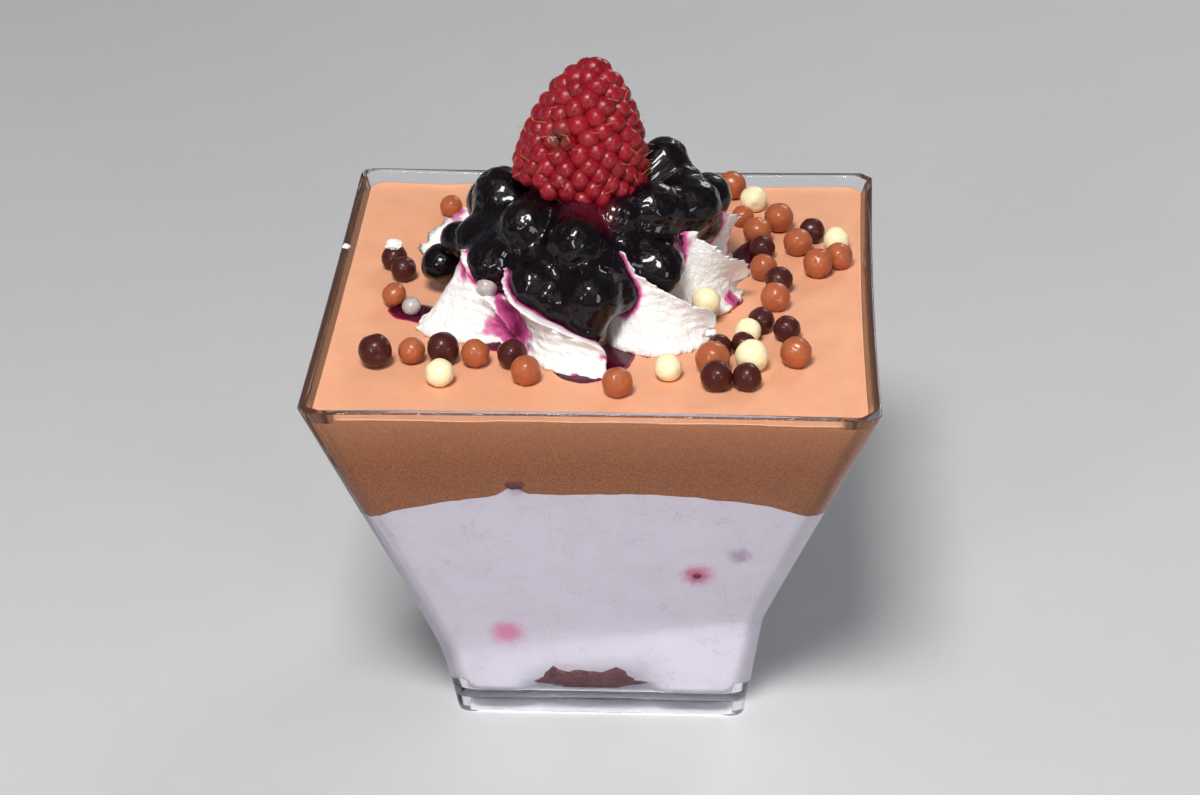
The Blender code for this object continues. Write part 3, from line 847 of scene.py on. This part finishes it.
def make_chocolate_mousse():
    levels = (0.76, 0.84, 0.92, 0.94)
    sides = [wall_ring(FOOD_PLACES, 1, above, 0, INSET) for above in levels]
    edge = wall_ring(FOOD_PLACES, 0, 0, TOP, INSET)
    for point in edge:
        point.z = top_height(point.x, point.y, 0)
    line = interface_rings()
    low = between(line[0], sides[0], (0.03, 0.15, 0.4, 0.7))
    rings = [*reversed(line), *low, *sides, *between(sides[-1], edge, (0.5, 0.8, 0.94)), edge]
    half = RIM_HALF - INSET
    near_wall = (0.25, 0.5, 0.9, 1.4, 2.0, 3.0, 4.0, 5.0, 6.5, 8.0)
    for inward in (*near_wall, 10, 12, 14, 16, 18, 20, 23, 26, 30, 34):
        share = 1 - inward / half
        rings.append([Vector((p.x * share, p.y * share, 0)) for p in edge])
        for point in rings[-1]:
            point.z = top_height(point.x, point.y, inward)
    bm = loft(rings)
    surface = chocolate_mousse_material()
    return finish_piece("chocolate_layer", bm, surface, ["chocolate_mousse"])


def make_sponge():
    """The soaked disc, which reaches into the wall in the middle of each side."""
    profile = (
        (FLOOR + 0.3, SPONGE_RADIUS - 2.6),
        (FLOOR + 0.8, SPONGE_RADIUS - 1.0),
        (FLOOR + 1.5, SPONGE_RADIUS),
        (SPONGE_TOP - 1.0, SPONGE_RADIUS),
        (SPONGE_TOP - 0.3, SPONGE_RADIUS - 0.3),
        (SPONGE_TOP, SPONGE_RADIUS - 1.2),
        (SPONGE_TOP, SPONGE_RADIUS - 8),
    )
    rings = []
    for level, radius in profile:
        points = []
        for side in range(180):
            angle = 2 * math.pi * side / 180
            away = Vector((math.cos(angle), math.sin(angle)))
            uneven = noise.noise(Vector((away.x, away.y, 0)) * 2.5)
            crumb = rough((away.x * 20, away.y * 20, level), 0.6)
            z = level + (uneven * 0.5 + crumb * 0.9 if level > FLOOR + 2 else 0)
            flat = away * (radius + uneven * 0.15 + crumb * 0.3)
            flat.x += SPONGE_X
            limit = half_width(z, 0.5) - INSET + 0.06
            points.append(Vector((max(-limit, min(limit, flat.x)), max(-limit, min(limit, flat.y)), z)))
        rings.append(points)
    bm = loft(rings)
    return finish_piece("soaked_disc", bm, soaked_sponge_material(), ["soaked_sponge"])


def smooth_path(points, share):
    """A place on a smooth curve through the points."""
    place = min(max(share, 0), 1) * (len(points) - 1)
    index = min(int(place), len(points) - 2)
    part = place - index
    before, first, second, after = (
        Vector(points[min(max(index + step, 0), len(points) - 1)]) for step in (-1, 0, 1, 2)
    )
    bend = 2 * before - 5 * first + 4 * second - after
    twist = 3 * first - before - 3 * second + after
    return (2 * first + (second - before) * part + bend * part**2 + twist * part**3) / 2


def polar(angle, radius, z):
    """A point round the rosette's middle."""
    turn = math.radians(angle)
    return ROSETTE + Vector((radius * math.cos(turn), radius * math.sin(turn), z))


def petal_section(ridge, foot, end_thick, share):
    """Closed cross-section of a petal: each point, with how ragged it is."""
    crest = polar(*smooth_path(ridge, share))
    angle, radius = smooth_path(foot, share)
    base = polar(angle, radius, TOP - 0.1)
    away = Vector((crest.x - ROSETTE.x, crest.y - ROSETTE.y, 0)).normalized()
    thick = mix(PETAL_THICK, end_thick, share)
    section = []
    for step in range(37):
        rise = step / 36
        hollow = 1.3 * math.sin(math.pi * rise) ** 0.8
        lip = 0.5 * math.sin(math.pi * min(rise / 0.16, 1))
        flat = base.lerp(crest, rise**1.2) + away * (lip - hollow)
        ragged = 0.18 + 0.62 * abs(2 * rise - 1) ** 5
        section.append((Vector((flat.x, flat.y, mix(base.z, crest.z, rise))), ragged))
    for step in range(1, 14):
        inward = step / 13
        point = crest - away * thick * inward**0.9
        point.z = mix(crest.z, mix(TOP, crest.z, 0.7), inward**1.6)
        section.append((point, 0.2))
    point = crest - away * (thick + 1.5)
    point.z = TOP - 0.2
    section.append((point, 0.0))
    return section


def petal(ridge, foot, end):
    """One lobe of the rosette, with torn edges and a rounded end."""
    rings = []
    for step in range(97):
        share = step / 96
        section = petal_section(ridge, foot, end, share)
        crest = polar(*smooth_path(ridge, share))
        away = Vector((crest.x - ROSETTE.x, crest.y - ROSETTE.y, 0)).normalized()
        close = max((share - 0.93) / 0.075, (0.05 - share) / 0.06, 0)
        narrowed = 1 - math.sqrt(max(1 - close**2, 0.04))
        middle = sum((point for point, ragged in section), Vector()) / len(section)
        middle.z = TOP
        points = []
        for point, ragged in section:
            shrunk = point.lerp(middle, narrowed * 0.6)
            torn = rough(shrunk, 0.85, 6) * ragged
            line = 0.05 * math.sin(shrunk.z * 5 + 5 * rough(shrunk, 0.2))
            points.append(shrunk + away * (torn + line) + Vector((0, 0, torn * 0.6)))
        rings.append(points)
    return loft(rings)


def cream_core():
    """The middle of the rosette, under the berries."""
    rings = []
    profile = ((0, 1.0), (0.15, 1.03), (0.35, 1.0), (0.55, 0.95), (0.75, 0.84), (0.9, 0.62), (1, 0.2))
    for height, width in profile:
        z = mix(TOP - 0.2, CREAM_CORE_TOP, height)
        points = []
        for side in range(96):
            angle = 2 * math.pi * side / 96
            away = Vector((math.cos(angle), math.sin(angle), 0))
            point = ROSETTE + away * CREAM_CORE_RADIUS * width + Vector((0, 0, z))
            points.append(point + away * rough(point, 0.5) * 0.5)
        rings.append(points)
    return loft(rings)


def add_lump(bm, place, radius, squash, amount, detail=3):
    """A small rough lump."""
    verts = bmesh.ops.create_icosphere(bm, subdivisions=detail, radius=radius)["verts"]
    for vert in verts:
        away = vert.co.normalized()
        swell = 1 + amount * rough(Vector(place) + vert.co, 1.2 / radius)
        vert.co = Vector(place) + Vector((away.x, away.y, away.z * squash)) * radius * swell
    return verts


def make_cream(compote_tree):
    bm = bmesh.new()
    join(bm, cream_core())
    for shape in PETALS:
        join(bm, petal(**shape))
    for x, y, z, radius in CRUMBS:
        add_lump(bm, (x, y, z), radius, 0.6, 0.45, 4)
    stain = bm.verts.layers.float.new("stain")
    for vert in bm.verts:
        away = compote_tree.find_nearest(vert.co)[3]
        soak = math.exp(-max(away - 0.1, 0) / (0.42 + 0.3 * rough(vert.co, 0.35))) * 0.85
        for place, reach in CREAM_STAINS:
            gone = (vert.co - Vector(place)).length / (reach * (1 + 0.5 * rough(vert.co, 0.5)))
            soak = max(soak, 0.95 * max(1 - gone, 0) ** 0.6)
        vert[stain] = min(max(soak + 0.1 * rough(vert.co, 1.5) * (soak > 0.05), 0), 1)
    return finish_piece("cream_rosette", bm, whipped_cream_material(), ["whipped_cream"])


def compote_distance(points):
    """Signed distance from each point to the jelly and its berries, blended where they meet."""
    scaled = (points - np.array(JELLY)) / np.array(JELLY_RADII)
    total = np.exp(-(np.linalg.norm(scaled, axis=-1) - 1) * min(JELLY_RADII) / BLEND)
    for x, y, z, radius in BERRIES + DRAPES:
        away = np.linalg.norm(points - np.array((x, y, z)), axis=-1) - radius
        total = total + np.exp(-away / BLEND)
    return -BLEND * np.log(total)


def compote_reach(directions):
    """How far the compote reaches from its middle along each direction."""
    steps = np.linspace(26, 3, 93)
    reach = np.full(len(directions), 3.0)
    found = np.zeros(len(directions), bool)
    last = np.full(len(directions), 1.0)
    for step in steps:
        away = compote_distance(np.array(JELLY) + directions * step)
        entered = (away < 0) & ~found
        reach[entered] = step + (steps[0] - steps[1]) * away[entered] / (away[entered] - last[entered])
        found |= entered
        last = np.where(away > 0, away, last)
    return reach


def make_compote_mesh():
    """The heap: jelly and berries as one blended body, with the outlying berries beside it."""
    bm = bmesh.new()
    verts = bmesh.ops.create_icosphere(bm, subdivisions=7, radius=1)["verts"]
    directions = np.array([vert.co.normalized() for vert in verts])
    for vert, direction, reach in zip(verts, directions, compote_reach(directions)):
        point = JELLY + Vector(direction) * float(reach)
        fold = 0.16 * (1 - 2.2 * abs(rough(point, 0.42))) + 0.1 * rough(point, 0.95)
        vert.co = point + Vector(direction) * fold
        vert.co.z = max(vert.co.z, TOP + 0.4)
    for x, y, z, radius in OUTER_BERRIES:
        add_lump(bm, (x, y, z), radius, 1.0, 0.08, 4)
    return bm


def make_compote(bm):
    return finish_piece("berry_heap", bm, compote_material(), ["berry_compote"])


def berry_skin_material():
    """Dull dark skin of the bits of berry that lie against the wall."""
    made, tree, shader = new_material("berry_skin", Roughness=0.7, Specular_IOR_Level=0.1)
    body = grain(tree, (0.12, 0.035, 0.035), (0.06, 0.018, 0.02), 0.8, 0.2, 0.8)
    tree.links.new(body.outputs["Color"], shader.inputs["Base Color"])
    set_bump(tree, shader, body.outputs["Height"], 0.05)
    return made


def make_berry_bits():
    """The dark bit at the top of the front peak and the red one in the fruit mousse, against the wall."""
    bm = bmesh.new()
    for x, z, wide, high in ((-10.1, 44.1, 1.25, 0.85), (13.6, 26.7, 0.65, 0.5)):
        y = -(half_width(z, (x / RIM_HALF + 1) / 2) - WALL - 0.25)
        verts = bmesh.ops.create_icosphere(bm, subdivisions=4, radius=1)["verts"]
        for vert in verts:
            swell = 1 + 0.3 * rough(vert.co * 2 + Vector((x, 0, z)), 1.0)
            local = Vector((vert.co.x * wide * swell, vert.co.y * 0.34, vert.co.z * high * swell))
            vert.co = Vector((x, y, z)) + local
    return finish_piece("berry_bits", bm, berry_skin_material())


def make_puddles():
    """Thin sauce round the foot of the cream."""
    bm = bmesh.new()
    for x, y, long_half, short_half, turn in PUDDLES:
        place = Matrix.Translation((x, y, TOP)) @ Matrix.Rotation(math.radians(turn), 4, "Z")
        rings = []
        for inward in (1.0, 0.97, 0.9, 0.8, 0.6, 0.4, 0.2, 0.05):
            points = []
            for side in range(64):
                angle = 2 * math.pi * side / 64
                away = Vector((math.cos(angle), math.sin(angle), 0))
                spread = inward * (1 + 0.30 * rough(away + Vector((x, y, 0)), 0.7, 2))
                z = 0.30 * (1 - inward**6) - 0.08
                flat = Vector((away.x * long_half * spread, away.y * short_half * spread, z))
                points.append(place @ flat)
            rings.append(points)
        join(bm, loft(rings))
    depth = bm.verts.layers.float.new("depth")
    for vert in bm.verts:
        vert[depth] = min((vert.co.z - TOP + 0.08) / 0.30, 1)
    return finish_piece("sauce_puddles", bm, sauce_material())


def raspberry_frame():
    """Places the raspberry on the compote, leaning to the right."""
    return Matrix.Translation(RASPBERRY) @ Matrix.Rotation(RASPBERRY_LEAN, 4, "Y")


def raspberry_radius(share):
    """Outer radius at a share of the height."""
    narrow = mix(0.96, 1.0, min(share / 0.14, 1)) * (1.03 - 0.2 * share)
    return RASPBERRY_RADIUS * math.sqrt(max(1 - share * share, 0)) * narrow


def drupelets(varied):
    """Frame and half widths of each drupelet, packed on a spiral from the open end to the tip."""
    placed = []
    share = 0.035
    while share < 0.985:
        radius = raspberry_radius(share)
        slope = share / math.sqrt(1 - share * share) * RASPBERRY_RADIUS / RASPBERRY_HEIGHT
        room = mix(DRUPELET_ROOM[0], DRUPELET_ROOM[1], share)
        angle = len(placed) * GOLDEN_ANGLE + varied.uniform(-0.05, 0.05)
        wide = math.sqrt(room / math.pi) * mix(1.08, 1.2, share) * varied.uniform(0.92, 1.1)
        tall = math.sqrt(room / math.pi) * mix(1.28, 1.15, share) * varied.uniform(0.94, 1.08)
        reach = radius - wide * 0.75
        z = share * (RASPBERRY_HEIGHT - 1.3) + varied.uniform(-0.12, 0.12)
        place = Vector((reach * math.cos(angle), reach * math.sin(angle), z))
        away = Vector((math.cos(angle), math.sin(angle), 1.3 * slope - 0.1)).normalized()
        around = Vector((-math.sin(angle), math.cos(angle), 0))
        local = Matrix((around, away.cross(around), away)).transposed().to_4x4()
        sizes = Vector((wide, tall, wide * 1.08))
        placed.append((raspberry_frame() @ Matrix.Translation(place) @ local, sizes))
        share += room / (2 * math.pi * radius * RASPBERRY_HEIGHT * math.hypot(1, slope))
    return placed


def make_raspberry(placed, varied):
    rings = []
    for share in (0.0, 0.1, 0.25, 0.4, 0.55, 0.7, 0.82, 0.92, 0.97):
        radius = max(raspberry_radius(share) - 1.1, 0.3)
        z = share * (RASPBERRY_HEIGHT - 1.9)
        turns = [2 * math.pi * side / 48 for side in range(48)]
        flat = [Vector((radius * math.cos(turn), radius * math.sin(turn), z)) for turn in turns]
        rings.append([raspberry_frame() @ point for point in flat])
    bm = loft(rings)
    tone = bm.verts.layers.float.new("tone")
    for place, sizes in placed:
        bruised = (place.translation - Vector(BRUISE)).length < 2.0
        shade = varied.uniform(0, 0.5)
        verts = bmesh.ops.create_icosphere(bm, subdivisions=3, radius=1)["verts"]
        for vert in verts:
            wrinkle = rough(vert.co + place.translation, 1.6) * (0.28 if bruised else 0.04)
            local = vert.co * (1 + wrinkle - (0.25 if bruised else 0))
            vert.co = place @ Vector(a * b for a, b in zip(local, sizes))
            vert[tone] = shade
    return finish_piece("raspberry_fruit", bm, raspberry_material(), ["raspberry"])


def make_hairs(placed, varied):
    """Fine hairs that stand out between the drupelets and curl."""
    curve = bpy.data.curves.new("raspberry_hairs", "CURVE")
    curve.dimensions = "3D"
    curve.bevel_depth = 0.032 * MM
    curve.bevel_resolution = 1
    curve.use_fill_caps = True
    highest = cad_box[1][2] / MM - 0.3
    for place, sizes in placed:
        outward = place.to_3x3() @ Vector((0, 0, 1))
        side = outward.orthogonal().normalized()
        side.rotate(Matrix.Rotation(varied.uniform(0, 2 * math.pi), 3, outward))
        length = varied.uniform(0.9, 2.1)
        start = place @ Vector((0, sizes.y * 0.6, sizes.z * 0.72))
        if varied.random() < 0.15 or start.z + length > highest:
            continue
        spline = curve.splines.new("POLY")
        spline.points.add(6)
        for step, point in enumerate(spline.points):
            share = step / 6
            bend = side * math.sin(share * 2.2) * length * 0.7
            rise = outward * length * 0.55 * math.sin(share * 2.0)
            point.co = (*((start + bend + rise) * MM), 1)
            point.radius = 1 - 0.75 * share
    curve.materials.append(hair_material())
    piece = bpy.data.objects.new("raspberry_hairs", curve)
    bpy.context.scene.collection.objects.link(piece)
    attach(piece, "root")
    return piece


def make_pearls(kind, surface, varied, replaced=()):
    """All the pearls of one colour, each a little out of round and dented."""
    bm = bmesh.new()
    centres = [(x, y, TOP + r - PEARL_SINK, r) for x, y, r, made_of in PEARLS if made_of == kind]
    if kind == "white":
        centres.append(CREAM_PEARL)
    if kind == "dipped":
        centres.append(DIPPED_PEARL)
    for x, y, z, radius in centres:
        pits = [
            Vector((varied.uniform(-1, 1), varied.uniform(-1, 0.6), varied.uniform(-0.2, 1))).normalized()
            for _ in range(varied.choice((0, 1, 1, 2, 3)))
        ]
        verts = bmesh.ops.create_icosphere(bm, subdivisions=4, radius=radius)["verts"]
        for vert in verts:
            away = vert.co.normalized()
            press = sum(0.1 * math.exp(-((away - pit).length / 0.2) ** 2) for pit in pits)
            lumps = rough(away + Vector((x, y, 0)), 0.9) * 0.07 + rough(away + Vector((x, y, 9)), 4.0) * 0.02
            swell = 1 - press + lumps
            vert.co = Vector((x, y, z)) + away * radius * swell
    return finish_piece("pearls_" + kind, bm, surface, replaced)


def make_floor():
    """A wide pale floor, which isn't part of the object."""
    bm = bmesh.new()
    bmesh.ops.create_grid(bm, x_segments=8, y_segments=8, size=3.0)
    mesh = bpy.data.meshes.new("studio_floor")
    bm.to_mesh(mesh)
    bm.free()
    mesh.materials.append(floor_material())
    floor = bpy.data.objects.new("studio_floor", mesh)
    bpy.context.scene.collection.objects.link(floor)


def main():
    make_camera()
    make_studio()
    GROUPS["grain"] = grain_group()
    GROUPS["spot"] = spot_group()
    make_floor()
    make_cup()
    make_fruit_mousse()
    make_sponge()
    make_chocolate_mousse()
    heap = make_compote_mesh()
    make_cream(BVHTree.FromBMesh(heap))
    make_compote(heap)
    make_berry_bits()
    make_puddles()
    varied = random.Random(11)
    placed = drupelets(varied)
    make_raspberry(placed, varied)
    make_hairs(placed, varied)
    milk = pearl_material("milk_pearl", (0.42, 0.115, 0.045), (0.33, 0.08, 0.03), 0.35)
    dark = pearl_material("dark_pearl", (0.070, 0.013, 0.010), (0.040, 0.008, 0.007), 0.28)
    white = pearl_material("white_pearl", (0.93, 0.84, 0.55), (0.88, 0.76, 0.44), 0.3)
    dipped = pearl_material("dipped_pearl", (0.52, 0.47, 0.46), (0.36, 0.28, 0.30), 1.0)
    for kind, surface in (("milk", milk), ("dark", dark), ("white", white), ("dipped", dipped)):
        make_pearls(kind, surface, varied)


main()
